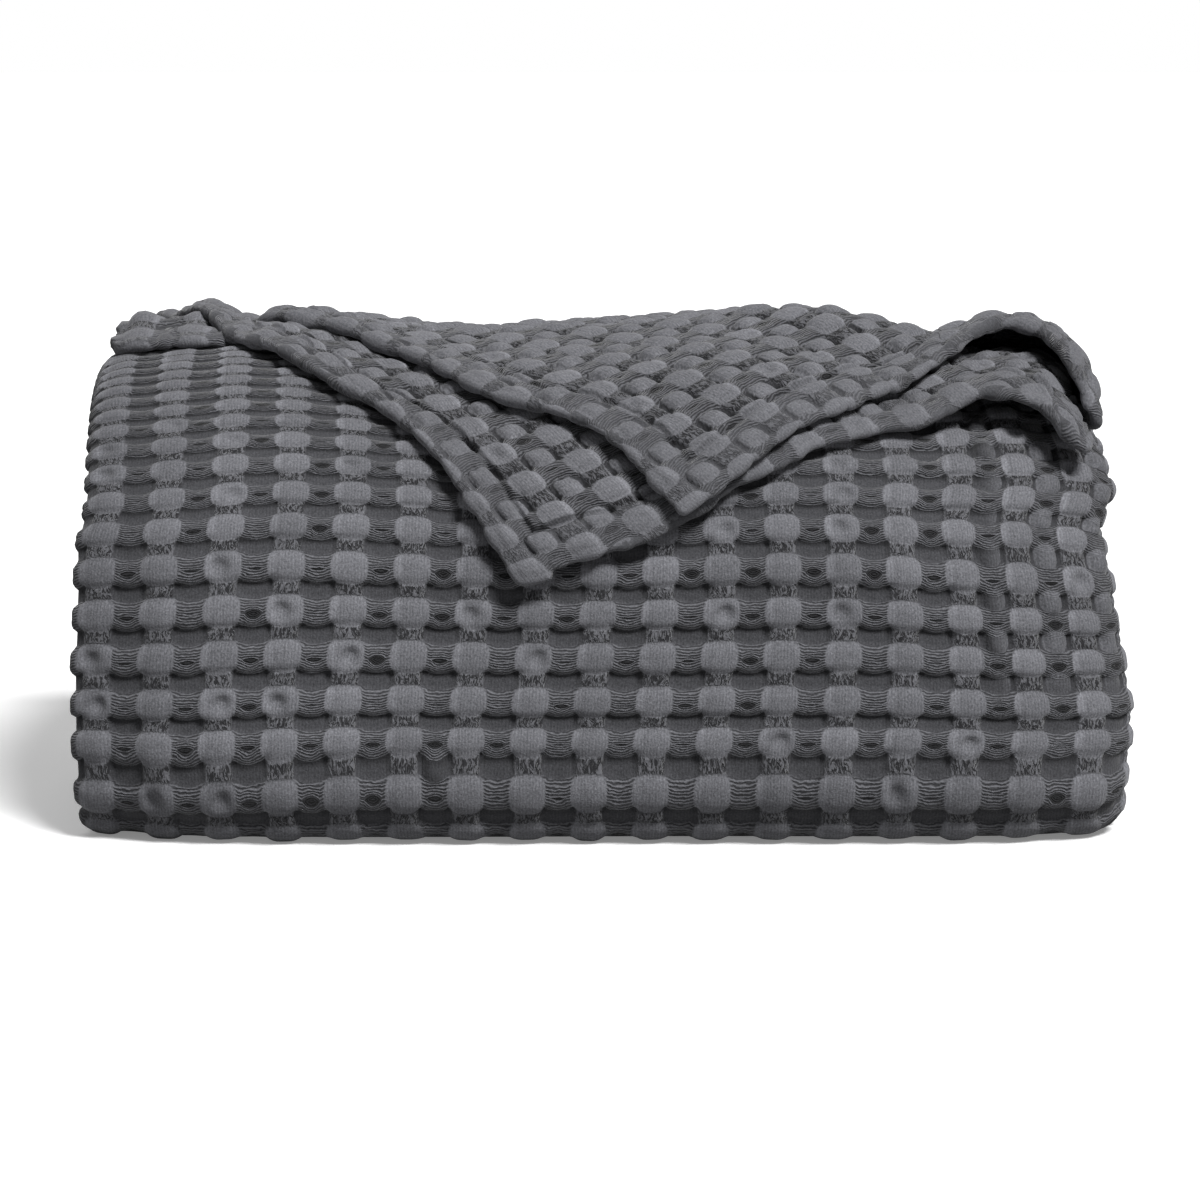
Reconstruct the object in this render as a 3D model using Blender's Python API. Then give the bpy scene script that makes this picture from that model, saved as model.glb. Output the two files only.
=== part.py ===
"""Folded waffle weave cotton blanket, as one sheet of cloth.

The cloth is folded lengthwise into a strip of four plies. The strip is folded back and forth into a
stack with a round front, and its end comes forward over the top. There the two loose plies are drawn
askew, so that their corners hang over the front and the side loops of the strip stand open.

Units are metres. X runs along the front, Y from the front to the back, Z up from the surface below.
The origin lies on that surface, under the middle of the blanket's box.
"""
import math

import bmesh
import bpy
from mathutils import Vector

# Driving dimensions
WIDTH = 0.380  # the strip, side to side
DEPTH = 0.250  # the stack, front to back
THICKNESS = 0.0040  # one ply, puffs included
PLY_PITCH = 0.00625  # from one ply to the next
LAYER_PITCH = 4 * PLY_PITCH  # from one layer of the strip to the next
TOP_LEVEL = 7  # the layer that carries the loose end; the lowest is 0

# The strip's own section: how far its outer faces lie from its middle line
OUTER_PLY = 1.5 * PLY_PITCH
INNER_PLY = 0.5 * PLY_PITCH
STRIP_HALF = OUTER_PLY + THICKNESS / 2

SECTION_LEFT = -WIDTH / 2 + THICKNESS / 2 + INNER_PLY  # where the flat of the plies ends, at the left
SECTION_RIGHT = WIDTH / 2 - THICKNESS / 2 - OUTER_PLY  # and at the right

FRONT = -DEPTH / 2
ROLL_TOP = STRIP_HALF + (TOP_LEVEL - 1) * LAYER_PITCH + STRIP_HALF  # top face of the round front
ROLL_RADIUS = 0.075  # its upper edge
FOOT_RADIUS = 0.038  # its lower edge
TIGHT = LAYER_PITCH / 2  # the tightest bend of the strip's middle line
RESTING = LAYER_PITCH - STRIP_HALF  # height of the top layer's middle line over the round front

# Each fold of the stack, from the hidden core to the back fold under the loose end. Setback is the
# distance of the strip's middle line from the front or back plane.
FOLDS = (
    # side, level before, level after, setback, radius before, radius after, steps in each bend
    ("back", 3, 2, STRIP_HALF + 0.004, TIGHT, TIGHT, 2),
    ("front", 2, 4, STRIP_HALF + 2 * LAYER_PITCH, LAYER_PITCH, LAYER_PITCH, 3),
    ("back", 4, 5, STRIP_HALF, TIGHT, TIGHT, 2),
    ("front", 5, 1, STRIP_HALF + LAYER_PITCH, ROLL_RADIUS - STRIP_HALF - LAYER_PITCH, TIGHT, 3),
    ("back", 1, 0, STRIP_HALF + 0.007, TIGHT, TIGHT, 2),
    ("front", 0, 6, STRIP_HALF, FOOT_RADIUS - STRIP_HALF, ROLL_RADIUS - STRIP_HALF, 4),
    ("back", 6, 7, STRIP_HALF + 0.002, TIGHT, TIGHT, 2),
)
CORE_END = FRONT + 0.098  # where the strip's hidden end lies
SINK_START = -0.040  # where the stack begins to slope down to the back
RUN_LINES = (SINK_START, 0.040)  # the stations that all flat runs share
LONGEST_STEP = 0.002  # an upright shorter than this needs no stations of its own

# Places across a ply, as shares of its width, the same in all four
ACROSS = (0.0, 0.07, 0.20, 0.40, 0.60, 0.80, 0.93, 1.0)
LOOP_STEPS = {"outer": 5, "left": 3, "inner": 3}  # segments round the side folds
LOOSE_STEPS = 11  # rows from the last back fold to the end hem

# Edges of the two loose plies. Reach is measured along the cloth from where the round front begins
# to turn down: minus is behind that line, plus is down the front.
UPPER_SIDE = (
    # x, reach
    (-0.187, -0.150),
    (-0.182, -0.085),
    (-0.165, -0.040),
    (-0.130, -0.006),
    (-0.100, 0.010),
    (-0.066, 0.032),
    (-0.042, 0.048),
    (-0.014, 0.058),
    (0.005, 0.070),
    (0.020, 0.088),
    (0.036, 0.107),
)
UPPER_END = (
    (0.036, 0.107),
    (0.058, 0.092),
    (0.082, 0.076),
    (0.110, 0.056),
    (0.134, 0.038),
    (0.158, 0.024),
    (0.172, 0.026),
)
LOWER_SIDE = (
    (-0.187, -0.150),
    (-0.180, -0.070),
    (-0.162, -0.020),
    (-0.135, 0.012),
    (-0.100, 0.038),
    (-0.073, 0.056),
    (-0.057, 0.076),
    (-0.043, 0.098),
    (-0.032, 0.118),
    (-0.024, 0.131),
)
LOWER_END = (
    (-0.024, 0.131),
    (0.000, 0.118),
    (0.032, 0.107),
    (0.070, 0.088),
    (0.096, 0.074),
    (0.124, 0.060),
    (0.148, 0.052),
    (0.168, 0.058),
)
# Where the third ply ends, by x
SETBACK_END = (
    (-0.190, -0.024),
    (-0.120, -0.020),
    (0.060, -0.030),
    (0.130, -0.005),
    (0.166, 0.024),
)
BOTTOM_SHORT = 0.034  # the bottom ply ends this far behind the third, less at the right
BACK_REACH = -0.150  # where the loose end starts, just before the last back fold

# How the loose end stands off the round front
DROOP_LENGTH = 0.042  # the third ply's end comes down over the bottom ply in this length
STEP_LENGTH = 0.030  # the loose plies come down past the third ply's end in this length
LAG = 0.010  # and they begin each descent this much further forward
SIDE_LAG = 0.018  # likewise, sideways
LEFT_PUFF = 0.005  # the left fold stands open by this much at its end
LOWER_RISE = 0.011  # the lower ply's open loop, on the right
UPPER_RISE = 0.012  # the upper ply's
OPEN_FROM, OPEN_TO = 0.085, 0.150  # the loops rise between these places
LOOP_SPRING = 0.0022  # both loose plies spring up by this much next to their loops
FRONT_LOFT = 0.0014  # each loose ply lies this much looser on the front than on the stack
OUTER_LEAN = 0.042  # the upper loop's rim leans forward by this much
INNER_LEAN = 0.026  # the lower one's
OUTER_BULGE = 0.017  # how far the upper ply's loop swings out to the right
INNER_BULGE = 0.008  # the lower ply's
SETBACK_RIGHT = 0.166  # where the flat of the set-back plies ends, under the loops
RIGHT_SHORT = 0.8  # share of the bottom ply's shortness that is lost towards the right

# Slump and unevenness of the whole stack
BACK_SINK = 0.125  # share of its height that the stack loses towards the back
SQUEEZE = 0.13  # share of their pitch that the plies on top of the round front lose
FRONT_BELLY = 0.007  # the front bows out by this much in the middle
END_ROUNDING = 0.016  # the front's two ends turn back by this much
SHOULDER_DROP = 0.011  # the top falls away by this much at its right end
LEFT_DROP = 0.012  # and by this much at its left end
TOP_SAG = 0.004  # the dip in the top
SAG_PLACE = -0.025  # which lies here, left of the middle
SAG_WIDTH = 0.090
FOOT = 0.006  # what is lower than this rests on the surface and stays where it is
STRIP_SWAY = 0.0020  # the strip wanders sideways by this much from layer to layer
TOP_WAVE = 0.0012
FRONT_WAVE = 0.0016
END_WAVE = 0.0015
WAIST = 0.010  # share of its width that the stack gains at half height
NARROWING = 0.022  # share that it loses towards the top
FORWARD = 0.0067  # half of what the loose plies stand out in front: it brings the box's middle to 0


def smooth(value, start, end):
    """Go from 0 at start to 1 at end, gently at both."""
    t = min(1.0, max(0.0, (value - start) / (end - start)))
    return t * t * (3 - 2 * t)


def mix(a, b, t):
    return a + (b - a) * t


def level_height(level):
    return STRIP_HALF + level * LAYER_PITCH


def read(rows, x):
    """Read the second column of a table at x."""
    for low, high in zip(rows, rows[1:]):
        if x <= high[0] or high is rows[-1]:
            return mix(low[1], high[1], min(1.0, max(0.0, (x - low[0]) / (high[0] - low[0]))))


def walk(rows, share):
    """Go a share of the way along an edge given by its points."""
    lengths = [math.dist(a, b) for a, b in zip(rows, rows[1:])]
    left = share * sum(lengths)
    for start, end, length in zip(rows, rows[1:], lengths):
        if left <= length or end is rows[-1]:
            t = min(1.0, left / length)
            return mix(start[0], end[0], t), mix(start[1], end[1], t)
        left -= length


# The strip's middle line


def bend(y, z, radius, heading_in, heading_out, steps):
    """Round the corner at y, z, from one heading to the next: stations of place and left normal."""
    centre_y = y - radius * heading_in[0] + radius * heading_out[0]
    centre_z = z - radius * heading_in[1] + radius * heading_out[1]
    start = math.atan2(-heading_out[1], -heading_out[0])
    left = math.copysign(1.0, heading_in[0] * heading_out[1] - heading_in[1] * heading_out[0])
    stations = []
    for step in range(steps + 1):
        angle = start + left * math.pi / 2 * step / steps
        out_y, out_z = math.cos(angle), math.sin(angle)
        stations.append((centre_y + radius * out_y, centre_z + radius * out_z, -left * out_y, -left * out_z))
    return stations


def middle_line():
    """Stations along the strip from its hidden end to the last back fold: y, z and left normal."""
    line = [(CORE_END, level_height(FOLDS[0][1]), 0.0, 1.0)]
    for side, before, after, setback, radius_before, radius_after, steps in FOLDS:
        outward = 1.0 if side == "back" else -1.0
        y = outward * (DEPTH / 2 - setback)
        rise = math.copysign(1.0, after - before)
        first = bend(y, level_height(before), radius_before, (outward, 0.0), (0.0, rise), steps)
        second = bend(y, level_height(after), radius_after, (0.0, rise), (-outward, 0.0), steps)
        last, start = line[-1], first[0]
        crossed = [line_y for line_y in RUN_LINES if min(last[0], start[0]) < line_y < max(last[0], start[0])]
        line += [(line_y, last[1], last[2], last[3]) for line_y in sorted(crossed, reverse=outward < 0)]
        line += first
        straight = abs(second[0][1] - first[-1][1])
        if straight > LAYER_PITCH:
            line.append((y, (second[0][1] + first[-1][1]) / 2, first[-1][2], first[-1][3]))
        line += second if straight > LONGEST_STEP else second[1:]
    return line


# The strip's section: places across the cloth, from the upper ply's hem to the lower ply's


def half_turn(start, end, bulge, steps):
    """Points strictly between start and end, round a half turn that bulges along x."""
    points = []
    for step in range(1, steps):
        angle = math.pi * step / steps
        share = (1 - math.cos(angle)) / 2
        points.append([mix(a, b, share) for a, b in zip(start, end)])
        points[-1][0] += bulge * math.sin(angle)
    return points


def across(start, end, offset):
    """One ply of the closed strip, from start to end."""
    shares = ACROSS if start < end else [1 - share for share in reversed(ACROSS)]
    return [(mix(start, end, share), offset) for share in shares]


def join_plies(plies, bulges):
    """Join the plies' rows of points by the outer loop, the left fold and the inner loop."""
    upper, bottom, third, lower = plies
    outer = half_turn(upper[-1], bottom[0], bulges["outer"], LOOP_STEPS["outer"])
    left = half_turn(bottom[-1], third[0], -bulges["left"], LOOP_STEPS["left"])
    inner = half_turn(third[-1], lower[0], bulges["inner"], LOOP_STEPS["inner"])
    return upper, outer, bottom, left, third, inner, lower


def strip_section(shift):
    """The section of the closed strip: x, and offset from the middle line, plus for the bottom ply."""
    left = SECTION_LEFT + shift
    right = SECTION_RIGHT + shift
    plies = (across(left, right, -OUTER_PLY), across(right, left, OUTER_PLY),
             across(left, right, INNER_PLY), across(right, left, -INNER_PLY))
    bulges = {"outer": OUTER_PLY, "left": INNER_PLY, "inner": INNER_PLY}
    return [point for row in join_plies(plies, bulges) for point in row]


# The loose end on top


def cover(x, reach):
    """Height of what the loose plies lie on, over the round front's face: the two set-back plies."""
    end = read(SETBACK_END, x)
    puff = LEFT_PUFF * (1 - smooth(x, -0.150, -0.080)) * smooth(reach, -0.130, -0.070)
    full = 2 * PLY_PITCH + puff
    droop = (PLY_PITCH + puff) * smooth(x, -0.182, -0.150) * (1 - smooth(x, 0.040, 0.120))
    return (full - droop * smooth(reach, end - DROOP_LENGTH, end)
            - (full - droop) * smooth(reach, end, end + STEP_LENGTH))


def loose_height(ply, x, reach):
    """Height of a loose ply's middle over the round front's face."""
    rest = RESTING - OUTER_PLY
    if ply == "third":
        return rest + max(0.0, cover(x, reach) - PLY_PITCH)
    opening = smooth(x, OPEN_FROM, OPEN_TO) * smooth(reach, -0.080, 0.0)
    loft = FRONT_LOFT * smooth(reach, -0.060, 0.010)
    spring = LOOP_SPRING * smooth(x, 0.120, 0.160)
    under = max(cover(x, reach - LAG), cover(x + SIDE_LAG, reach - LAG))
    lower = rest + loft + spring + max(under, LOWER_RISE * opening)
    return lower if ply == "lower" else lower + loft + PLY_PITCH + (UPPER_RISE - LOWER_RISE) * opening


def patch(side_rows, end_rows, u, v):
    """A loose ply's place, u from its side hem to the right, v from the back to its end hem."""
    side = walk(side_rows, v)
    end = walk(end_rows, u)
    side_start, corner, right_end = side_rows[0], end_rows[0], end_rows[-1]
    right = (mix(SECTION_RIGHT, right_end[0], v), mix(BACK_REACH, right_end[1], v))
    x = ((1 - u) * side[0] + u * right[0] + (1 - v) * mix(side_start[0], SECTION_RIGHT, u) + v * end[0]
         - (1 - v) * mix(side_start[0], SECTION_RIGHT, u) - v * mix(corner[0], right_end[0], u))
    reach = ((1 - u) * side[1] + u * right[1] + (1 - v) * BACK_REACH + v * end[1]
             - (1 - v) * BACK_REACH - v * mix(corner[1], right_end[1], u))
    return x, reach


def loose_row(v):
    """Points across the loose end: x, reach and height, v from the back fold (0) to the hems (1)."""
    plies = {}
    for ply, side, end in (("upper", UPPER_SIDE, UPPER_END), ("lower", LOWER_SIDE, LOWER_END)):
        places = [patch(side, end, u, v) for u in ACROSS]
        plies[ply] = [(x, reach, loose_height(ply, x, reach)) for x, reach in places]
    left = mix(SECTION_LEFT, SECTION_LEFT + LEFT_PUFF / 2, v)
    right = mix(SECTION_RIGHT, SETBACK_RIGHT, v)
    for ply, short in (("bottom", BOTTOM_SHORT), ("third", 0.0)):
        plies[ply] = []
        for share in ACROSS:
            x = mix(left, right, share)
            end = read(SETBACK_END, x) - short * (1 - RIGHT_SHORT * smooth(x, OPEN_FROM, OPEN_TO))
            reach = mix(BACK_REACH, end, v)
            height = RESTING - OUTER_PLY if ply == "bottom" else loose_height(ply, x, reach)
            plies[ply].append((x, reach, height))
    rows = plies["upper"], plies["bottom"][::-1], plies["third"], plies["lower"][::-1]
    bulges = {
        "outer": mix(OUTER_PLY, OUTER_BULGE, v),
        "left": INNER_PLY + LEFT_PUFF / 2 * v,
        "inner": mix(INNER_PLY, INNER_BULGE, v),
    }
    row = join_plies(rows, bulges)
    for loop, lean in ((row[1], OUTER_LEAN), (row[5], INNER_LEAN)):
        for k, point in enumerate(loop, 1):
            point[1] += lean * v * v * math.sin(math.pi * k / (len(loop) + 1))
    return [point for part in row for point in part]


def over_front(reach, height):
    """Place reach and height over the round front: y and z."""
    radius = ROLL_RADIUS + height
    angle = reach / (ROLL_RADIUS + PLY_PITCH)
    centre_y, centre_z = FRONT + ROLL_RADIUS, ROLL_TOP - ROLL_RADIUS
    if angle <= 0:
        return centre_y - reach, ROLL_TOP + height
    if angle >= math.pi / 2:
        below = (angle - math.pi / 2) * (ROLL_RADIUS + PLY_PITCH)
        return centre_y - radius, centre_z - below
    return centre_y - radius * math.sin(angle), centre_z + radius * math.cos(angle)


# Slump and unevenness


def settle(x, y, z):
    """Let the stack sag and bow as soft cloth does; what lies on the surface stays flat."""
    over_roll = max(0.0, z - ROLL_TOP)
    z -= SQUEEZE * over_roll * (1 - smooth(y, -0.020, 0.080))
    off_floor = max(0.0, z - FOOT)
    high = min(1.0, off_floor / ROLL_TOP)
    side = abs(x) / (WIDTH / 2)
    near_front = 1 - smooth(y, FRONT + 0.085, FRONT + 0.215)
    sink = BACK_SINK * max(0.0, y - SINK_START) / (DEPTH / 2 - SINK_START)
    drop = (SHOULDER_DROP if x > 0 else LEFT_DROP) * smooth(side, 0.50, 1.10) * high
    sag = TOP_SAG * math.exp(-((x - SAG_PLACE) / SAG_WIDTH) ** 2) * high
    wave = TOP_WAVE * math.sin(31 * x + 9 * y) * high
    new_z = z - sink * off_floor - drop - sag + wave
    end_turn = END_ROUNDING * smooth(side, 0.74, 1.12) + FRONT_BELLY * side * side
    ripple = FRONT_WAVE * math.sin(23 * x + 1.0 + 20 * z)
    new_y = y + (end_turn + ripple) * near_front
    waist = 1 + WAIST * math.sin(math.pi * min(1.0, z / ROLL_TOP)) - NARROWING * high * high
    new_x = x * waist + END_WAVE * math.sin(40 * z + 12 * y) * side * side
    return Vector((new_x, new_y + FORWARD, new_z))


# The cloth


def middle_surface():
    """Rows of points on the cloth's middle surface, one row for each station along the strip."""
    rows = []
    line = middle_line()
    length = 0.0
    for before, (y, z, normal_y, normal_z) in zip([line[0]] + line, line):
        length += math.dist(before[:2], (y, z))
        shift = STRIP_SWAY * math.sin(34 * length)
        rows.append([settle(x, y + offset * normal_y, z + offset * normal_z)
                     for x, offset in strip_section(shift)])
    for step in range(1, LOOSE_STEPS + 1):
        row = []
        for x, reach, height in loose_row(step / LOOSE_STEPS):
            y, z = over_front(reach, height)
            row.append(settle(x, y, z))
        rows.append(row)
    return rows


def direction(points, index):
    """Mean direction of the two spans that meet at a point of a line."""
    total = Vector()
    if index > 0:
        total += (points[index] - points[index - 1]).normalized()
    if index < len(points) - 1:
        total += (points[index + 1] - points[index]).normalized()
    return total.normalized()


def build_cloth(name):
    """Give the middle surface its thickness and close it along the hems."""
    rows = middle_surface()
    columns = [list(column) for column in zip(*rows)]
    mesh = bpy.data.meshes.new(name)
    cloth = bmesh.new()
    faces = []
    for side in (1, -1):
        grid = []
        for j, row in enumerate(rows):
            line = []
            for i, point in enumerate(row):
                normal = direction(row, i).cross(direction(columns[i], j)).normalized()
                place = point + normal * side * THICKNESS / 2
                line.append(cloth.verts.new(place))
            grid.append(line)
        faces.append(grid)
    first, second = faces
    last_row, last_column = len(rows) - 1, len(columns) - 1
    for j in range(last_row):
        for i in range(last_column):
            cloth.faces.new((first[j][i], first[j][i + 1], first[j + 1][i + 1], first[j + 1][i]))
            cloth.faces.new((second[j][i], second[j + 1][i], second[j + 1][i + 1], second[j][i + 1]))
    for j in range(last_row):
        cloth.faces.new((first[j][0], first[j + 1][0], second[j + 1][0], second[j][0]))
        cloth.faces.new((first[j + 1][last_column], first[j][last_column],
                         second[j][last_column], second[j + 1][last_column]))
    for i in range(last_column):
        cloth.faces.new((first[0][i + 1], first[0][i], second[0][i], second[0][i + 1]))
        cloth.faces.new((first[last_row][i], first[last_row][i + 1],
                         second[last_row][i + 1], second[last_row][i]))
    bmesh.ops.recalc_face_normals(cloth, faces=cloth.faces)
    cloth.to_mesh(mesh)
    cloth.free()
    mesh.shade_smooth()
    blanket = bpy.data.objects.new(name, mesh)
    bpy.context.collection.objects.link(blanket)
    return blanket


def cotton():
    """Dark grey washed cotton."""
    material = bpy.data.materials.new("dark grey cotton")
    material.use_nodes = True
    shader = material.node_tree.nodes["Principled BSDF"]
    shader.inputs["Base Color"].default_value = (0.090, 0.092, 0.100, 1.0)
    shader.inputs["Roughness"].default_value = 0.95
    shader.inputs["Metallic"].default_value = 0.0
    return material


def main():
    for thing in list(bpy.data.objects):
        bpy.data.objects.remove(thing, do_unlink=True)
    blanket = build_cloth("blanket")
    blanket.data.materials.append(cotton())


main()
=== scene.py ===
"""The look of a folded waffle weave blanket in dark grey washed cotton.

The cloth is made anew on the folds of its solid, with its puffed weave in real relief. It is one cloth;
its pieces meet where the folds hide them. Units are metres, in the same frame as the solid.
"""
import math

import bmesh
import bpy
import numpy as np
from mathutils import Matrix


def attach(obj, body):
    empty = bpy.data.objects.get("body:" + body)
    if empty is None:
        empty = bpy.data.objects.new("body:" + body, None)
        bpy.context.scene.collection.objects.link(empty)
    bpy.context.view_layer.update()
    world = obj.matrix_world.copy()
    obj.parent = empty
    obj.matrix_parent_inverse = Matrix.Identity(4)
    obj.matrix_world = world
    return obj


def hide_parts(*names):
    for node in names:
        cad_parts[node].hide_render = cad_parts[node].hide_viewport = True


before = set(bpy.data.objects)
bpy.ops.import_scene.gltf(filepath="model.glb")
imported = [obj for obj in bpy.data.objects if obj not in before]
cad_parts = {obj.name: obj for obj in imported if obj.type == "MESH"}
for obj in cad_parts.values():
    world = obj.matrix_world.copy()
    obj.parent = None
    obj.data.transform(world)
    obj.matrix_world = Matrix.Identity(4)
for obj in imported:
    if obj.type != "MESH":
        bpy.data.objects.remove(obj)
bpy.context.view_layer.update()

# The folded strip, as in the solid
WIDTH = 0.380  # the strip, side to side
DEPTH = 0.250  # the stack, front to back
THICKNESS = 0.0040  # one ply, puffs included
PLY_PITCH = 0.00625  # from one ply to the next
LAYER_PITCH = 4 * PLY_PITCH  # from one layer of the strip to the next
TOP_LEVEL = 7  # the layer that carries the loose end; the lowest is 0
OUTER_PLY = 1.5 * PLY_PITCH  # how far the outer plies lie from the strip's middle line
INNER_PLY = 0.5 * PLY_PITCH
STRIP_HALF = OUTER_PLY + THICKNESS / 2
SECTION_LEFT = -WIDTH / 2 + THICKNESS / 2 + INNER_PLY  # where the flat of the plies ends, at the left
SECTION_RIGHT = WIDTH / 2 - THICKNESS / 2 - OUTER_PLY  # and at the right
FRONT = -DEPTH / 2
ROLL_TOP = STRIP_HALF + (TOP_LEVEL - 1) * LAYER_PITCH + STRIP_HALF  # top face of the round front
ROLL_RADIUS = 0.075  # its upper edge
FOOT_RADIUS = 0.038  # its lower edge
TIGHT = LAYER_PITCH / 2  # the tightest bend of the strip's middle line
RESTING = LAYER_PITCH - STRIP_HALF  # height of the top layer's middle line over the round front
FOLDS = (
    # side, level before, level after, setback, radius before, radius after
    ("back", 3, 2, STRIP_HALF + 0.004, TIGHT, TIGHT),
    ("front", 2, 4, STRIP_HALF + 2 * LAYER_PITCH, LAYER_PITCH, LAYER_PITCH),
    ("back", 4, 5, STRIP_HALF, TIGHT, TIGHT),
    ("front", 5, 1, STRIP_HALF + LAYER_PITCH, ROLL_RADIUS - STRIP_HALF - LAYER_PITCH, TIGHT),
    ("back", 1, 0, STRIP_HALF + 0.007, TIGHT, TIGHT),
    ("front", 0, 6, STRIP_HALF, FOOT_RADIUS - STRIP_HALF, ROLL_RADIUS - STRIP_HALF),
    ("back", 6, 7, STRIP_HALF + 0.002, TIGHT, TIGHT),
)
FRONT_FOLD = 5  # the fold that makes the round front
BEND_STEPS = 24
CORE_END = FRONT + 0.098  # where the strip's hidden end lies

# A span says where a change begins and where it is complete.
LEFT_RAISE, LEFT_SPAN = 0.007, (-0.150, -0.050)  # how far the roll stands higher at the left, fading over x
LEFT_SQUEEZE = (  # how much flatter the loose end lies at each x
    (-0.178, 0.06), (-0.171, 0.24), (-0.164, 0.22), (-0.156, 0.24), (-0.149, 0.42), (-0.142, 0.58),
    (-0.132, 0.64), (-0.121, 0.42), (-0.107, 0.32), (-0.092, 0.19), (-0.077, 0.12), (-0.063, 0.10),
    (-0.040, 0.05), (-0.020, 0.0),
)
# How far the two ends bulge out at each share of the height
LEFT_BULGE = (
    (0.00, 0.0000), (0.13, 0.0008), (0.27, 0.0030), (0.36, 0.0044), (0.50, 0.0046), (0.61, 0.0040),
    (0.70, 0.0000), (0.78, -0.0008), (0.87, -0.0006), (1.00, 0.0008),
)
RIGHT_BULGE = (
    (0.00, 0.0060), (0.27, 0.0030), (0.36, -0.0012), (0.44, -0.0038), (0.53, -0.0058), (0.61, -0.0068),
    (0.70, -0.0070), (0.78, 0.0005), (0.87, 0.0005), (1.00, -0.0040),
)

# Edges of the two loose plies: x, and reach along the cloth from where the front begins to turn down. Minus
# is behind that line, plus is down the front.
UPPER_SIDE = (
    (-0.187, -0.150), (-0.164, -0.090), (-0.148, -0.040), (-0.126, -0.010), (-0.098, 0.006), (-0.066, 0.026),
    (-0.042, 0.048), (-0.014, 0.058), (0.005, 0.070), (0.020, 0.088), (0.0295, 0.0985),
)
UPPER_END = (
    (0.0295, 0.0985), (0.042, 0.0905), (0.055, 0.080), (0.0645, 0.073), (0.0735, 0.066), (0.084, 0.0605),
    (0.095, 0.0525), (0.104, 0.0465), (0.118, 0.036), (0.134, 0.021), (0.152, 0.008), (0.168, 0.012),
)
UPPER_WAYS = (0.166, 0.113), (0.122, -0.083)  # directions of its side hem and its end hem, in x and reach
LOWER_SIDE = (
    (-0.187, -0.150), (-0.172, -0.085), (-0.157, -0.030), (-0.137, 0.012), (-0.104, 0.041), (-0.075, 0.058),
    (-0.057, 0.076), (-0.043, 0.098), (-0.0300, 0.1190),
)
LOWER_END = (
    (-0.030, 0.119), (-0.015, 0.1155), (0.000, 0.1105), (0.009, 0.109), (0.026, 0.1015), (0.036, 0.096),
    (0.049, 0.0865), (0.0645, 0.0795), (0.0795, 0.0695), (0.0905, 0.0655), (0.1025, 0.0595), (0.118, 0.055),
    (0.1255, 0.052), (0.138, 0.044), (0.150, 0.045), (0.166, 0.050),
)
LOWER_WAYS = (0.100, 0.115), (0.120, -0.057)
SETBACK_END = (  # where the third ply ends, by x
    (-0.190, 0.008), (-0.150, 0.010), (-0.115, -0.004), (-0.080, -0.022), (0.060, -0.030), (0.130, -0.005),
    (0.166, 0.024),
)
TIP_PAST = 0.0040  # how far the lower ply's side hem stands out past its end hem
TIP_WIDTH = (0.0095, 0.0125)  # along its end hem
TIP_START = 0.94  # and from this share of the ply's length on
TIP_WAY = (0.4, 0.9)  # its direction in x and reach
LOWER_LENGTH = 0.212  # length of its end hem
SETBACK_RIGHT = 0.166  # where the flat of the set-back plies ends, under the loops
BOTTOM_SHORT = 0.034  # the bottom ply ends this far behind the third, less at the right
RIGHT_SHORT = 0.8  # share of that which is lost towards the right
BACK_REACH = -0.150  # where the loose end starts, just before the last back fold

# How the loose end stands off the round front
DROOP_LENGTH = 0.032  # the third ply's end comes down over the bottom ply in this length
DROOP_SPAN = (0.040, 0.120)  # x over which it comes down less and less
STEP_LENGTH = 0.030  # the loose plies come down past the third ply's end in this length
LAG = 0.010  # and they begin each descent this much further forward
SIDE_LAG = 0.018  # likewise, sideways
LEFT_PUFF = 0.005  # the left fold stands open by this much at its end
LEFT_PUFF_SPAN, LEFT_PUFF_REACH = (-0.150, -0.080), (-0.130, -0.070)  # fading over x, growing over reach
THIN_LEFT, THIN_LEFT_SPAN = 0.55, (-0.196, -0.178)  # share of the set-back plies' height left at their edge
THIN_RIGHT, THIN_RIGHT_SPAN = 0.28, (0.100, 0.140)  # share of it lost towards the right
OPEN_SPAN = (0.100, 0.155)  # the loops rise between these places
LOWER_RISE, LOWER_RISE_REACH = 0.011, (0.0, 0.040)  # the lower ply's open loop, on the right
UPPER_RISE, UPPER_RISE_REACH = 0.0160, (-0.080, 0.0)  # the upper ply's
LOOP_SPRING, SPRING_SPAN = 0.0022, (0.120, 0.160)  # both loose plies spring up by this much at their loops
FRONT_LOFT, LOFT_REACH = 0.0014, (-0.060, 0.010)  # each loose ply lies this much looser on the front
OUTER_LEAN = 0.038  # the upper loop's rim leans forward by this much
INNER_LEAN = 0.026  # the lower one's
OUTER_BULGE = 0.021  # how far the upper ply's loop swings out to the right
INNER_BULGE = 0.014  # the lower ply's

# Slump and unevenness of the whole stack. Side spans are shares of half its width.
SINK_START = -0.040  # where the stack begins to slope down to the back
BACK_SINK = 0.125  # share of its height that it loses towards the back
SQUEEZE, SQUEEZE_SPAN = 0.13, (-0.020, 0.080)  # share that the plies on the round front lose, fading over y
FRONT_SPAN = (FRONT + 0.085, FRONT + 0.215)  # y over which the front's own shape fades
FRONT_BELLY = 0.007  # the front bows out by this much in the middle
END_ROUNDING, END_SPAN = 0.016, (0.74, 1.12)  # its two ends turn back by this much
SHOULDER_DROP, SHOULDER_SPAN = 0.0125, (0.50, 1.10)  # the top falls away by this much at its right end
LEFT_DROP, LEFT_DROP_SPAN = 0.007, (0.62, 1.08)  # and by this much at its left end
RIGHT_CORNER, RIGHT_CORNER_SPAN = 0.006, (0.80, 1.02)  # how far the right end rounds off at its top
LEFT_CORNER, LEFT_CORNER_SPAN = 0.0025, (0.93, 1.02)  # and the left end
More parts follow.
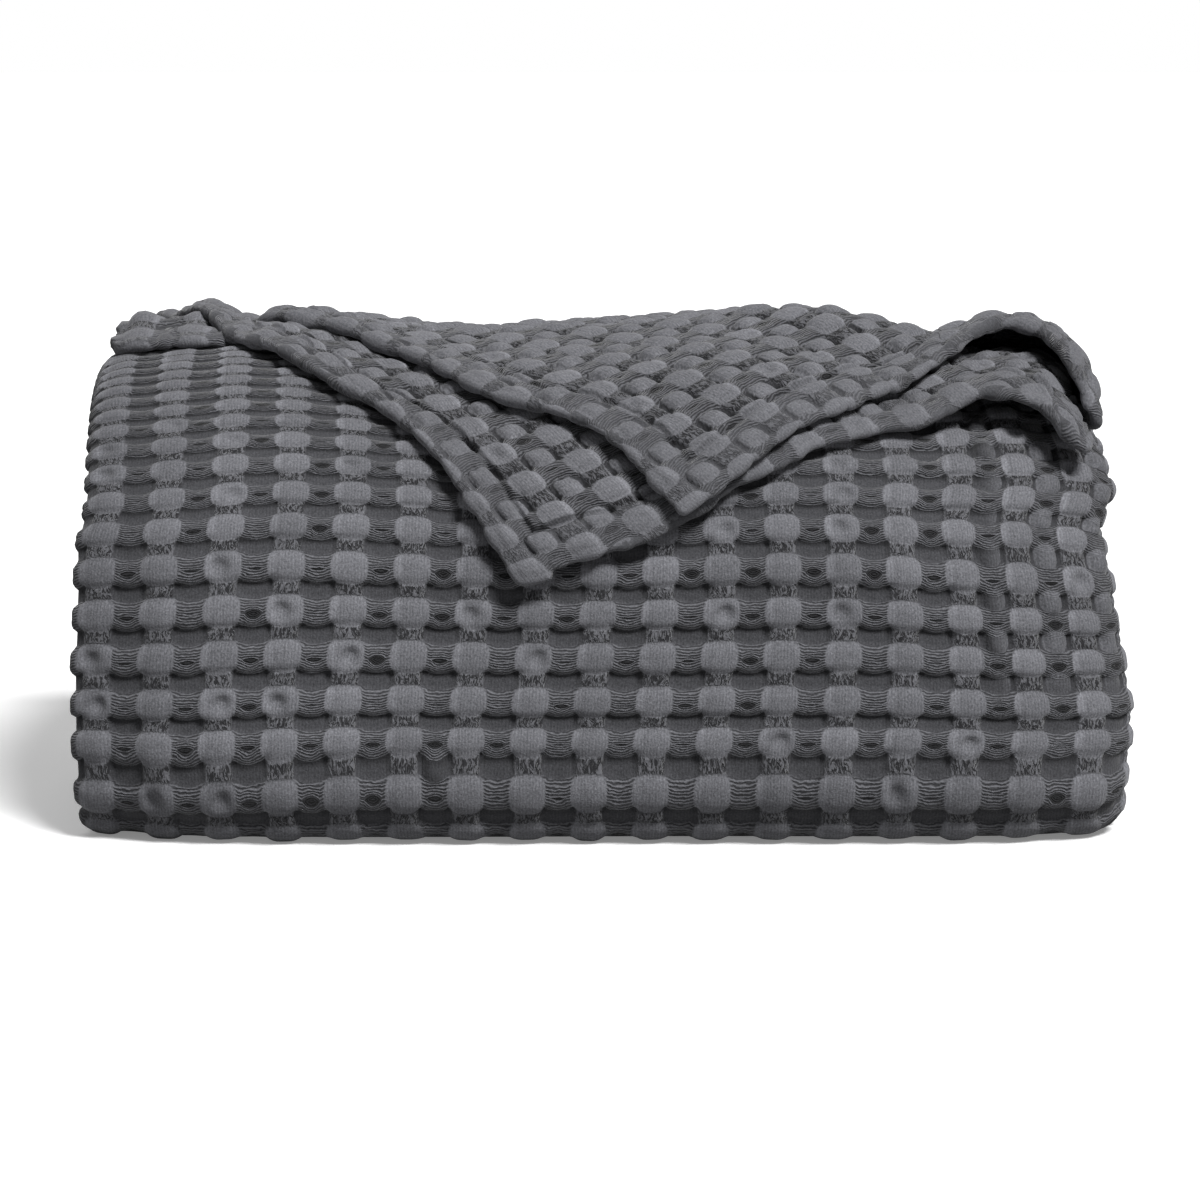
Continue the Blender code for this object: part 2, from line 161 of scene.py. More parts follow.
TOP_SAG, SAG_PLACE, SAG_WIDTH = 0.006, -0.025, 0.090  # the dip in the top
DIP, DIP_PLACE, DIP_WIDTH = 0.0092, 0.122, 0.045  # hollow between the crest and the loops at the right
FOOT = 0.006  # what is lower than this rests on the surface and stays where it is
FLATTER_FOOT, FOOT_SPAN = 0.32, (FRONT + 0.030, FRONT + 0.080)  # how much flatter the front's lower edge lies
STRIP_SWAY, SWAY_RATE = 0.0020, 34  # the strip wanders sideways by this much along its length
# Slow waves: height, radians for each metre along two axes, and the angle they start at
TOP_WAVE = (0.0012, 31, 9, 0.0)
FRONT_WAVE = (0.0016, 23, 20, 1.0)
END_WAVE = (0.0015, 40, 12, 0.0)
WAIST = 0.010  # share of its width that the stack gains at half height
NARROWING = 0.022  # share that it loses towards the top
FORWARD = 0.0067  # half of what the loose plies stand out in front: it brings the box's middle to 0

# The weave
CELL_ACROSS = 0.0221  # one repeat across the cloth
CELL_ALONG = 0.0162  # one repeat along it
PHASE_ACROSS = 0.02  # how far the upper ply's hem lies past a puff's middle, in cells
FIRST_ROW = 75  # number of the row at the first of these stations
ROWS = (
    # stations of the rows over the front, from the foot up: drawn together into ribs over the shoulder
    1.2445, 1.2596, 1.2727, 1.2873, 1.3039, 1.3203, 1.3355, 1.3482, 1.3590, 1.3684, 1.3764, 1.3834, 1.3896,
    1.3954, 1.4010, 1.4065, 1.4120, 1.4176, 1.4233, 1.4292, 1.4353, 1.4420, 1.4500, 1.4600, 1.4730,
)
# How far the rows lie lower at the left and higher at the right, each growing over a span of stations, and
# the width beside the side folds over which that fades
LEFT_HANG, LEFT_FADE = ((0.0025, (1.230, 1.260)), (0.0028, (1.330, 1.360))), (0.030, 0.130)
RIGHT_LIFT, RIGHT_FADE = ((0.0030, (1.330, 1.355)), (0.0040, (1.355, 1.375))), (0.040, 0.150)
RIGHT_SPREAD, SPREAD_START = 0.45, 1.374  # how much wider apart the rows lie at the right, from a station on
FLOOR_LIFT = -0.0008  # how far the weave's recesses lie from the cloth's middle surface
PUFF = 0.0043  # how far the puffs stand over the recesses
SAG = 0.22  # how far the raised parts slip down, as a share of their height
RIB_PITCH, RIB_DEPTH = 0.0125, 0.62  # rows closer than this have shallower recesses, down to this share

# The hems
HEM_RADIUS = 0.0021  # for the weave's coordinates round a turned hem
HEM_THIN, HEM_THICK = 0.0015, 0.0035  # radius of a turned hem between the puffs and on them
HEM_WIDTH = 0.012  # of the sewn band
HEM_TURN_STEPS, HEM_BACK_STEPS, CORNER_STEPS = 9, 5, 6
FROM_HEM = 0.05  # how far in the finish can tell its distance from a hem
LUMP_REACH = 0.007  # how far in from the edge puffs make it thicker
RIM_WIDTH = 0.0036  # of the rounded rim
RIM_FADE = 0.003  # how soon one hem's thickness gives way to another's
BAND_SPAN = (HEM_WIDTH - 0.0010, HEM_WIDTH + 0.0006)
BAND_LIFT, BAND_FLOOR, BAND_PUFF = 0.0014, 0.10, 0.74  # the band's thickness, and shares of the relief on it
SEAM_PLACE, SEAM_HALF, SEAM_DEPTH = HEM_WIDTH + 0.0010, 0.0008, 0.0012
PINCH_PLACE, PINCH_HALF, PINCH_HEIGHT = HEM_WIDTH + 0.0032, 0.0010, 0.0010  # puffs pushed up beside the seam


def smooth(value, start, end):
    t = np.clip((value - start) / (end - start), 0.0, 1.0)
    return t * t * (3 - 2 * t)


def mix(a, b, t):
    return a + (b - a) * t


def ripple(wave, first, second):
    height, first_rate, second_rate, start = wave
    return height * np.sin(first_rate * first + second_rate * second + start)


def table(rows, x):
    return np.interp(x, [row[0] for row in rows], [row[1] for row in rows])


def along(rows, share):
    """Places a share of the way along an edge, on a smooth curve through its points."""
    points = np.array(rows)
    padded = np.vstack((2 * points[0] - points[1], points, 2 * points[-1] - points[-2]))
    t = np.linspace(0, 1, 12, endpoint=False)[:, None]
    curve = []
    for a, b, c, d in zip(padded, padded[1:], padded[2:], padded[3:]):
        curve.append(0.5 * (2 * b + (c - a) * t + (2 * a - 5 * b + 4 * c - d) * t ** 2
                            + (3 * b - a - 3 * c + d) * t ** 3))
    curve = np.vstack(curve + [points[-1:]])
    length = np.concatenate(([0], np.cumsum(np.linalg.norm(np.diff(curve, axis=0), axis=1))))
    return tuple(np.interp(share * length[-1], length, curve[:, k]) for k in (0, 1))


def settle(x, y, z):
    """Let the stack sag and bow, as in the solid."""
    z = z * np.clip(z / FOOT_RADIUS, 1e-6, 1) ** (FLATTER_FOOT * (1 - smooth(y, *FOOT_SPAN)))
    over_roll = np.maximum(0.0, z - ROLL_TOP)
    z = z - over_roll * (SQUEEZE * (1 - smooth(y, *SQUEEZE_SPAN)) + table(LEFT_SQUEEZE, x))
    z = z + LEFT_RAISE * (1 - smooth(x, *LEFT_SPAN)) * np.clip(z / ROLL_TOP, 0, 1) ** 2
    off_floor = np.maximum(0.0, z - FOOT)
    high = np.minimum(1.0, off_floor / ROLL_TOP)
    side = np.abs(x) / (WIDTH / 2)
    near_front = 1 - smooth(y, *FRONT_SPAN)
    sink = BACK_SINK * np.maximum(0.0, y - SINK_START) / (DEPTH / 2 - SINK_START)
    drop = np.where(x > 0, SHOULDER_DROP * smooth(side, *SHOULDER_SPAN),
                    LEFT_DROP * smooth(side, *LEFT_DROP_SPAN))
    corner = np.where(x > 0, RIGHT_CORNER * smooth(side, *RIGHT_CORNER_SPAN),
                      LEFT_CORNER * smooth(side, *LEFT_CORNER_SPAN))
    drop = drop * high + corner * high * high
    sag = TOP_SAG * np.exp(-((x - SAG_PLACE) / SAG_WIDTH) ** 2)
    sag = (sag + DIP * np.exp(-((x - DIP_PLACE) / DIP_WIDTH) ** 2)) * high * high
    end_turn = END_ROUNDING * smooth(side, *END_SPAN) + FRONT_BELLY * side * side
    waist = 1 + WAIST * np.sin(np.pi * np.minimum(1.0, z / ROLL_TOP)) - NARROWING * high * high
    new_x = x * waist + ripple(END_WAVE, z, y) * side * side
    new_x += np.where(x > 0, table(RIGHT_BULGE, high), -table(LEFT_BULGE, high)) * side * side
    new_y = y + (end_turn + ripple(FRONT_WAVE, x, z)) * near_front + FORWARD
    new_z = z - sink * off_floor - drop - sag + ripple(TOP_WAVE, x, y) * high
    return np.stack((new_x, new_y, new_z), axis=-1)


# The closed strip


def bend(y, z, radius, heading_in, heading_out):
    """Round a corner from one heading to the next: place and left normal at each step."""
    centre_y = y - radius * heading_in[0] + radius * heading_out[0]
    centre_z = z - radius * heading_in[1] + radius * heading_out[1]
    start = math.atan2(-heading_out[1], -heading_out[0])
    left = math.copysign(1.0, heading_in[0] * heading_out[1] - heading_in[1] * heading_out[0])
    angle = start + left * np.linspace(0, math.pi / 2, BEND_STEPS + 1)
    out_y, out_z = np.cos(angle), np.sin(angle)
    return list(zip(centre_y + radius * out_y, centre_z + radius * out_z, -left * out_y, -left * out_z))


def middle_line():
    """The strip's middle line from its hidden end to the last back fold, and where each fold begins."""
    line = [(CORE_END, STRIP_HALF + FOLDS[0][1] * LAYER_PITCH, 0.0, 1.0)]
    marks = []
    for side, before, after, setback, radius_before, radius_after in FOLDS:
        outward = 1.0 if side == "back" else -1.0
        y = outward * (DEPTH / 2 - setback)
        rise = math.copysign(1.0, after - before)
        first = bend(y, STRIP_HALF + before * LAYER_PITCH, radius_before, (outward, 0.0), (0.0, rise))
        second = bend(y, STRIP_HALF + after * LAYER_PITCH, radius_after, (0.0, rise), (-outward, 0.0))
        marks.append((len(line), len(line) + len(first) + len(second) - 1))
        line += first + second
    line = np.array(line)
    steps = np.linalg.norm(np.diff(line[:, :2], axis=0), axis=1)
    length = np.concatenate(([0], np.cumsum(steps)))
    return line, length, [(length[a], length[b]) for a, b in marks]


LINE, LINE_LENGTH, FOLD_SPANS = middle_line()
LAST = LINE_LENGTH[-1]


def station(s):
    y, z, normal_y, normal_z = (np.interp(s, LINE_LENGTH, LINE[:, k]) for k in range(4))
    size = np.hypot(normal_y, normal_z)
    return y, z, normal_y / size, normal_z / size


# The parts across the cloth, in their order from the upper ply's hem to the lower ply's, with their widths
FLAT = SECTION_RIGHT - SECTION_LEFT
PARTS = {
    "upper": FLAT, "outer": math.pi * OUTER_PLY, "bottom": FLAT, "left": math.pi * INNER_PLY,
    "third": FLAT, "inner": math.pi * INNER_PLY, "lower": FLAT,
}
STARTS = dict(zip(PARTS, np.concatenate(([0], np.cumsum(list(PARTS.values()))[:-1]))))


def spaced(start, end, step):
    return np.linspace(start, end, max(2, int(round(abs(end - start) / step)) + 1))


def through(start, *stretches):
    """Places from start through stretches of (end, number of places), or of (end, step) below 1."""
    places = [np.array([start])]
    for end, fineness in stretches:
        stretch = spaced(start, end, fineness) if fineness < 1 else np.linspace(start, end, fineness)
        places.append(stretch[1:])
        start = end
    return np.concatenate(places)


def strip_place(part, t):
    """Section of the closed strip: x and offset."""
    angle = math.pi * t
    if part == "upper":
        return mix(SECTION_LEFT, SECTION_RIGHT, t), -OUTER_PLY + 0 * t
    if part == "outer":
        return SECTION_RIGHT + OUTER_PLY * np.sin(angle), -OUTER_PLY * np.cos(angle)
    if part == "bottom":
        return mix(SECTION_RIGHT, SECTION_LEFT, t), OUTER_PLY + 0 * t
    if part == "left":
        return SECTION_LEFT - INNER_PLY * np.sin(angle), PLY_PITCH + INNER_PLY * np.cos(angle)
    if part == "third":
        return mix(SECTION_LEFT, SECTION_RIGHT, t), INNER_PLY + 0 * t
    if part == "inner":
        return SECTION_RIGHT + INNER_PLY * np.sin(angle), INNER_PLY * np.cos(angle)
    return mix(SECTION_RIGHT, SECTION_LEFT, t), -INNER_PLY + 0 * t


def strip_rows(s, columns):
    """Middle surface of the closed strip, for stations s and columns of (part, t)."""
    x, offset = np.hstack([strip_place(part, t) for part, t in columns])
    y, z, normal_y, normal_z = (value[:, None] for value in station(s))
    x = x[None, :] + STRIP_SWAY * np.sin(SWAY_RATE * s)[:, None]
    return settle(x, y + offset * normal_y, z + offset * normal_z)


# The loose end


def cover(x, reach):
    """Height of the set-back plies under the loose ones."""
    end = table(SETBACK_END, x)
    puff = LEFT_PUFF * (1 - smooth(x, *LEFT_PUFF_SPAN)) * smooth(reach, *LEFT_PUFF_REACH)
    wedge = mix(THIN_LEFT, 1, smooth(x, *THIN_LEFT_SPAN)) * (1 - THIN_RIGHT * smooth(x, *THIN_RIGHT_SPAN))
    full = (2 * PLY_PITCH + puff) * wedge
    droop = (PLY_PITCH + puff) * wedge * (1 - smooth(x, *DROOP_SPAN))
    down = droop * smooth(reach, end - DROOP_LENGTH, end)
    return full - down - (full - droop) * smooth(reach, end, end + STEP_LENGTH)


def loose_height(ply, x, reach):
    """Height of a loose ply's middle surface over the round front."""
    rest = RESTING - OUTER_PLY
    if ply == "bottom":
        return rest + 0 * x
    if ply == "third":
        return rest + np.maximum(0.0, cover(x, reach) - PLY_PITCH)
    opening = smooth(x, *OPEN_SPAN)
    loft = FRONT_LOFT * smooth(reach, *LOFT_REACH)
    spring = LOOP_SPRING * smooth(x, *SPRING_SPAN)
    under = np.maximum(cover(x, reach - LAG), cover(x + SIDE_LAG, reach - LAG))
    base = rest + loft + spring
    lower = base + np.maximum(under, LOWER_RISE * opening * smooth(reach, *LOWER_RISE_REACH))
    if ply == "lower":
        return lower
    upper = np.maximum(lower, base + UPPER_RISE * opening * smooth(reach, *UPPER_RISE_REACH))
    return upper + loft + PLY_PITCH


def loose_ply(ply, u, v):
    """A loose ply's x, reach and height; u goes from the left to the right, v from the back to the end."""
    u, v = u[None, :], v[:, None]
    if ply in ("upper", "lower"):
        side_rows, end_rows = (UPPER_SIDE, UPPER_END) if ply == "upper" else (LOWER_SIDE, LOWER_END)
        side, end = along(side_rows, v), along(end_rows, u)
        right = (mix(SECTION_RIGHT, end_rows[-1][0], v), mix(BACK_REACH, end_rows[-1][1], v))
        x, reach = ((1 - u) * side[k] + u * right[k] + v * (end[k] - mix(end_rows[0][k], end_rows[-1][k], u))
                    for k in (0, 1))
        if ply == "lower":
            past = TIP_PAST * (1 - smooth(u * LOWER_LENGTH, *TIP_WIDTH)) * smooth(v, TIP_START, 1.0)
            x, reach = x + TIP_WAY[0] * past, reach + TIP_WAY[1] * past
    else:
        left = mix(SECTION_LEFT, SECTION_LEFT + LEFT_PUFF / 2, v)
        x = mix(left, mix(SECTION_RIGHT, SETBACK_RIGHT, v), u)
        short = BOTTOM_SHORT if ply == "bottom" else 0.0
        end = table(SETBACK_END, x) - short * (1 - RIGHT_SHORT * smooth(x, *OPEN_SPAN))
        reach = mix(BACK_REACH, end, v)
    return np.stack(np.broadcast_arrays(x, reach, loose_height(ply, x, reach)))


def loose_place(part, t, v):
    """x, reach and height on the loose end, for a part across the cloth and shares v towards its end."""
    one, zero = np.ones(1), np.zeros(1)
    if part in ("upper", "third"):
        return loose_ply(part, t, v)
    if part in ("bottom", "lower"):
        return loose_ply(part, 1 - t, v)
    start, end, bulge, lean = {
        "outer": (("upper", one), ("bottom", one), mix(OUTER_PLY, OUTER_BULGE, v), OUTER_LEAN),
        "left": (("bottom", zero), ("third", zero), -INNER_PLY - LEFT_PUFF / 2 * v, 0.0),
        "inner": (("third", one), ("lower", one), mix(INNER_PLY, INNER_BULGE, v), INNER_LEAN),
    }[part]
    angle = math.pi * t[None, :]
    place = mix(loose_ply(*start, v), loose_ply(*end, v), (1 - np.cos(angle)) / 2)
    place[0] += bulge[:, None] * np.sin(angle)
    place[1] += lean * (v * v)[:, None] * np.sin(angle)
    return place


def over_front(reach, height):
    """Places over the round front: y and z."""
    radius = ROLL_RADIUS + height
    angle = reach / (ROLL_RADIUS + PLY_PITCH)
    centre_y, centre_z = FRONT + ROLL_RADIUS, ROLL_TOP - ROLL_RADIUS
    turned = np.clip(angle, 0, math.pi / 2)
    behind = np.minimum(reach, 0)
    below = np.maximum(angle - math.pi / 2, 0) * (ROLL_RADIUS + PLY_PITCH)
    return centre_y - radius * np.sin(turned) - behind, centre_z + radius * np.cos(turned) - below


def loose_rows(v, columns):
    """Middle surface of the loose end, and its x and reach."""
    x, reach, height = np.concatenate([loose_place(part, t, v) for part, t in columns], axis=2)
    return settle(x, *over_front(reach, height)), x, reach


# The weave in relief. Each cell is a puff, with a bundle of loose threads on its left and right, a strip of
# crepe above and below, and a recess between them all. Sizes are in cells, and heights in shares of a puff's.

CHANCE = np.random.RandomState(11).rand(8, 160, 160)
PUFF_HALF, PUFF_SQUARENESS = (0.31, 0.385), 3.6
PUFF_SIZE, PUFF_HEIGHT = (0.90, 0.16), (0.84, 0.24)  # the least, and how much more there may be
PUFF_STRAY = (0.05, 0.06)
CROWDED = 0.16  # how much smaller puffs are between puffed recesses
DENTED, SLIGHT_DENT = 0.84, 0.10  # puffs with more chance than this are dented, the others only slightly
DENT_HALF, DENT_ASIDE = (0.14, 0.19), 0.07
CREPE_HEIGHT, CREPE_HALF, CREPE_WAVE, CREPE_DENT = 0.60, 0.23, 0.14, 0.6
BUNDLE_HALF, BUNDLE_SAG, BUNDLE_HEIGHT, BUNDLE_FLARE = 0.30, 0.09, 0.54, 1.5
GAP_HALF, GAP_DEPTH = (0.07, 0.06), 0.14  # the opening between a bundle's threads
POCKET_HALF, POCKET_STRAY = (0.20, 0.28), (0.06, 0.05)
POCKET_VARIETY = (0.34, 1.1)  # of the height: where most recesses puff up, and how much more where few do
ODD_POCKET, ODD_HEIGHT = 0.975, 0.8  # a single puffed recess anywhere
UPRIGHT = (0.05, 0.08)  # how much narrower and longer a puffed recess is where few puff up


def chance(kind, i, j):
    return CHANCE[kind, i.astype(int) % CHANCE.shape[1], j.astype(int) % CHANCE.shape[2]]


def dome(u, v, half_u, half_v, power=3.0, edge=0.40):
    round_ = (np.abs(u / half_u) ** power + np.abs(v / half_v) ** power) ** (1 / power)
    return np.clip(1 - round_ ** 2.2, 0, None) ** edge


def hollow(u, v, half):
    return np.exp(-(u / half[0]) ** 2 - (v / half[1]) ** 2)


def weave(a, b, pockets):
    """Height of the weave, from 0 in a recess to about 1 on a puff. Pockets: how far recesses puff up too."""
    i, j = np.round(a), np.round(b)
    u, v = a - i, b - j
    size = (PUFF_SIZE[0] + PUFF_SIZE[1] * chance(0, i, j)) * (1 - CROWDED * pockets)
    puff_u = u - PUFF_STRAY[0] * (chance(1, i, j) - 0.5)
    puff_v = v - PUFF_STRAY[1] * (chance(2, i, j) - 0.5)
    puff = dome(puff_u, puff_v, PUFF_HALF[0] * size, PUFF_HALF[1] * size, PUFF_SQUARENESS)
    puff = puff * (PUFF_HEIGHT[0] + PUFF_HEIGHT[1] * chance(3, i, j))
    dent = np.where(chance(4, i, j) > DENTED, 1.0, SLIGHT_DENT)
    dent = dent * hollow(u + DENT_ASIDE * np.sign(chance(5, i, j) - 0.5), v, DENT_HALF)
    puff = puff * (1 - dent)
    crepe = CREPE_HEIGHT * np.clip(1 - (np.abs(u) / CREPE_HALF) ** 4, 0, None) ** 0.5
    crepe = crepe * (1 - CREPE_WAVE + CREPE_WAVE * np.cos(4 * math.pi * v)) * (1 - CREPE_DENT * dent)
    middle = np.abs(u) - 0.5
    level = v + BUNDLE_SAG * (1 - (middle / 0.25) ** 2)
    bundle = np.clip(1 - np.abs(level / BUNDLE_HALF) ** 3, 0, None) ** 0.5
    bundle = bundle * (BUNDLE_HEIGHT + BUNDLE_FLARE * middle ** 2)
    bundle = bundle - GAP_DEPTH * hollow(middle, level, GAP_HALF)
    bundle = np.clip(bundle, 0, None) * smooth(np.abs(u), 0.10, 0.22)
    half_i, half_j = np.floor(a), np.floor(b)
    pocket_u = a - half_i - 0.5 + POCKET_STRAY[0] * (chance(1, half_i, half_j) - 0.5)
    pocket_v = b - half_j - 0.5 + POCKET_STRAY[1] * (chance(5, half_i, half_j) - 0.5)
    variety = POCKET_VARIETY[0] + POCKET_VARIETY[1] * (1 - smooth(pockets, 0.3, 0.7))
    variety = smooth(pockets, 0.0, 0.3) * variety
    raised_by = np.clip(pockets + variety * (chance(6, half_i, half_j) - 0.5), 0, 1.1)
    raised_by = np.maximum(raised_by, (chance(7, half_i, half_j) > ODD_POCKET) * ODD_HEIGHT)
    upright = 1 - smooth(pockets, 0.5, 0.8)
    pocket = raised_by * dome(pocket_u, pocket_v,
                              POCKET_HALF[0] + 0.03 * chance(0, half_i, half_j) - UPRIGHT[0] * upright,
                              POCKET_HALF[1] + UPRIGHT[1] * upright)
    return (puff ** 6 + crepe ** 6 + bundle ** 6 + pocket ** 6) ** (1 / 6)


# Meshes


def grid_normals(grid):
    normal = np.cross(np.gradient(grid, axis=1), np.gradient(grid, axis=0))
    return unit(normal)


def unit(vectors):
    return vectors / np.maximum(np.linalg.norm(vectors, axis=-1, keepdims=True), 1e-12)


def distance_from(grid, axis, end):
    """Distance along the grid from its first or last line."""
    steps = np.linalg.norm(np.diff(grid, axis=axis), axis=2)
    length = np.insert(np.cumsum(steps, axis=axis), 0, 0.0, axis=axis)
    return length if end == "first" else np.take(length, [-1], axis=axis) - length


def trim_of(places, pocket=0.0, band=1.0, near=0.0):
    """What the finish reads at each place: puffed recesses, hem, and distance from the hem in FROM_HEM."""
    near = np.clip(near / FROM_HEM, 0, 1)
    return np.stack(np.broadcast_arrays(pocket, band, near, places[..., 0])[:3], axis=-1)


def turned_hem(edge, tangent, normal, uv, uv_rate, radius, back):
    """The cloth turned under along a hem: one line of places for each step round the fold and back."""
    angles = np.linspace(0, math.pi, HEM_TURN_STEPS)
    lines = [edge + radius * (math.sin(angle) * tangent + math.cos(angle) * normal) for angle in angles]
    distances = list(HEM_RADIUS * angles)
    for inward in np.linspace(0, back, HEM_BACK_STEPS)[1:]:
        lines.append(edge - tangent * inward - radius * normal)
        distances.append(HEM_RADIUS * math.pi + inward)
    places = np.stack(lines, axis=1)
    return places, np.stack([uv + uv_rate * distance for distance in distances], axis=1), trim_of(places)


def hem_corner(corner, tangent_a, tangent_b, normal, uv, radius):
    """The rounded corner where two turned hems meet."""
    angle = np.linspace(0, math.pi, HEM_TURN_STEPS)[None, :, None]
    swing = np.linspace(0, math.pi / 2, CORNER_STEPS)[:, None, None]
    out = np.cos(swing) * tangent_a + np.sin(swing) * tangent_b
    places = corner + radius * (np.sin(angle) * out + np.cos(angle) * normal)
    return places, np.zeros(places.shape[:2] + (2,)) + uv, trim_of(places)


EDGES = {"first": (1, 0, 3), "last": (1, -1, -4), "end": (0, -1, -4)}  # axis, line, a line further in


def lumps(height, side, near):
    """Radius of the turned hem along its edge: thick where a puff is folded in, thin between."""
    lump = np.where(near < LUMP_REACH, height, 0.0).max(axis=EDGES[side][0])
    return HEM_THIN + (HEM_THICK - HEM_THIN) * np.clip(lump, 0, 1) ** 2


def raised(grid, uv, face, pockets=0.0, hems=(), amount=1.0, fade=None, back=0.010, sag=0.0, depth=1.0,
           calm=0.0):
    """Blocks of cloth: the weave raised on one face of the grid, and its hems turned under.

    Face is 1 or -1 along the grid's normal. Amount is the relief as a share of the front's. Fade is (height
    of another weave, share of this one). Depth is how deep the recesses stay under the puffs, and calm how
    far the relief is pulled flat, as round a side loop.
    """
    normal = face * grid_normals(grid)
    height = weave(uv[..., 0], uv[..., 1], pockets)
    if fade is not None:
        height = mix(fade[0], height, fade[1])
    lift = FLOOR_LIFT + PUFF * amount * (1 - depth * (1 - height))
    lift = mix(lift, 0.5 * PUFF * amount, 0.5 * calm)
    near = np.full(lift.shape, 1.0)
    radii = {}
    rim, weight = np.zeros(lift.shape), np.full(lift.shape, 1e-6)
    for side in hems:
        own = distance_from(grid, EDGES[side][0], "first" if side == "first" else "last")
        near = np.minimum(near, own)
        radii[side] = lumps(height, side, own)
        share = np.exp(-own / RIM_FADE)
        rim += share * (radii[side][:, None] if EDGES[side][0] == 1 else radii[side][None, :])
        weight += share
    rim = rim / weight
    band = 1 - smooth(near, *BAND_SPAN)
    if hems:
        seam = np.exp(-((near - SEAM_PLACE) / SEAM_HALF) ** 2)
        pinch = np.exp(-((near - PINCH_PLACE) / PINCH_HALF) ** 2) * (0.35 + 0.65 * np.clip(height, 0, 1))
        band_lift = FLOOR_LIFT + BAND_LIFT + PUFF * amount * (BAND_FLOOR + BAND_PUFF * height)
        lift = mix(lift, mix(rim, band_lift, smooth(near, 0.0, RIM_WIDTH)), band)
        lift = lift + (PINCH_HEIGHT * pinch - SEAM_DEPTH * seam) * (1 - calm)
    down = unit(np.gradient(grid, axis=0)) * (-sag * np.maximum(lift, 0))[..., None]
    blocks = [(grid + normal * lift[..., None] + down, uv, trim_of(grid, pockets, band, near), face)]
    tangents = {}
    for side in hems:
        axis, at, inner = EDGES[side]
        edge, further = np.take(grid, at, axis=axis), np.take(grid, inner, axis=axis)
        tangents[side] = unit(edge - further)
        gap = np.maximum(np.linalg.norm(edge - further, axis=-1), 1e-6)[..., None]
        rate = (np.take(uv, at, axis=axis) - np.take(uv, inner, axis=axis)) / gap
        radius = np.take(lift, at, axis=axis)[:, None]
        made = turned_hem(edge, tangents[side], np.take(normal, at, axis=axis), np.take(uv, at, axis=axis),
                          rate, radius, back)
        blocks.append((*made, face if side == "last" else -face))
    if "end" in hems:
        for side, at, turn in (("first", 0, -face), ("last", -1, face)):
            if side in hems:
                made = hem_corner(grid[-1, at], tangents[side][-1], tangents["end"][at], normal[-1, at],
                                  uv[-1, at], lift[-1, at])
                blocks.append((*made, turn))
    return blocks


def cloth_piece(name, blocks):
    """One object from blocks of cloth, joined where they meet."""
    verts, faces, uvs, trims = [], [], [], []
    start = 0
    for places, uv, trim, face in blocks:
        rows, cols = places.shape[:2]
        index = start + np.arange(rows * cols).reshape(rows, cols)
        quads = np.stack((index[:-1, :-1], index[:-1, 1:], index[1:, 1:], index[1:, :-1]), axis=-1)
        quads = quads.reshape(-1, 4)
        faces.append(quads if face > 0 else quads[:, ::-1])
        verts.append(places.reshape(-1, 3))
        uvs.append(uv.reshape(-1, 2))
        trims.append(trim.reshape(-1, 3))
        start += rows * cols
    verts, uvs, trims, faces = (np.vstack(part) for part in (verts, uvs, trims, faces))
    verts[:, 2] = np.maximum(verts[:, 2], 0.0)
    mesh = bpy.data.meshes.new(name)
    mesh.from_pydata(verts.tolist(), [], faces.tolist())
    corners = np.empty(len(mesh.loops), dtype=np.int32)
    mesh.loops.foreach_get("vertex_index", corners)
    mesh.uv_layers.new(name="weave").data.foreach_set("uv", uvs[corners].astype(np.float32).ravel())
    colours = np.hstack((trims, np.ones((len(trims), 1)))).astype(np.float32)
    mesh.attributes.new("trim", "FLOAT_COLOR", "POINT").data.foreach_set("color", colours.ravel())
    joined = bmesh.new()
    joined.from_mesh(mesh)
    bmesh.ops.remove_doubles(joined, verts=joined.verts, dist=0.00002)
    joined.to_mesh(mesh)
    joined.free()
    mesh.shade_smooth()
    piece = bpy.data.objects.new(name, mesh)
    bpy.context.collection.objects.link(piece)
    return piece


# The pieces of the cloth

# Steps of their meshes
FINE, FINEST = 0.00128, 0.00070  # on the front, and on the ribs of its shoulder
MEDIUM, BACK_STEP, UNDER_STEP = 0.0021, 0.00235, 0.003
INNER_STEP, HIDDEN_STEP, COARSE = 0.0033, 0.0042, 0.024  # half hidden, hidden and flat
SHOULDER, CREST = 1.352, 1.440  # stations between which the rows draw together into ribs
EDGE = 0.022  # how far in from a side the weave is made where the rest is hidden
OVERLAP = 0.010  # how far roll_front reaches onto the flats beside its two folds
PRESSED, HALF_PRESSED, BACK_RELIEF = 0.4, 0.6, 0.85  # relief of the inner and upper plies, and of the back
TOP_RELIEF, UNDER_RELIEF = 1.1, 1.05
TOP_POCKETS, UNDER_POCKETS, TIER_POCKETS = 0.86, 0.84, 0.3  # how far the recesses of the loose end puff up
FOLD_MARGIN = 0.004  # how far the fine weave goes on past a back fold
SHORT_BACK = 0.006  # how far a hem is turned back where that is hidden
LOOPS = ("outer", "left", "inner")


def columns_of(part, start, end, step):
    """Columns on a stretch of one part; a loop leaves out its ends, which the flat parts have."""
    t = spaced(start, end, step / PARTS[part])
    return part, t[1:-1] if part in LOOPS else t


def hidden_columns(part, step):
    """Columns on a flat that only shows at its sides."""
    edge = EDGE / FLAT
    return part, through(0, (edge, step / FLAT), (1 - edge, COARSE / FLAT), (1, step / FLAT))


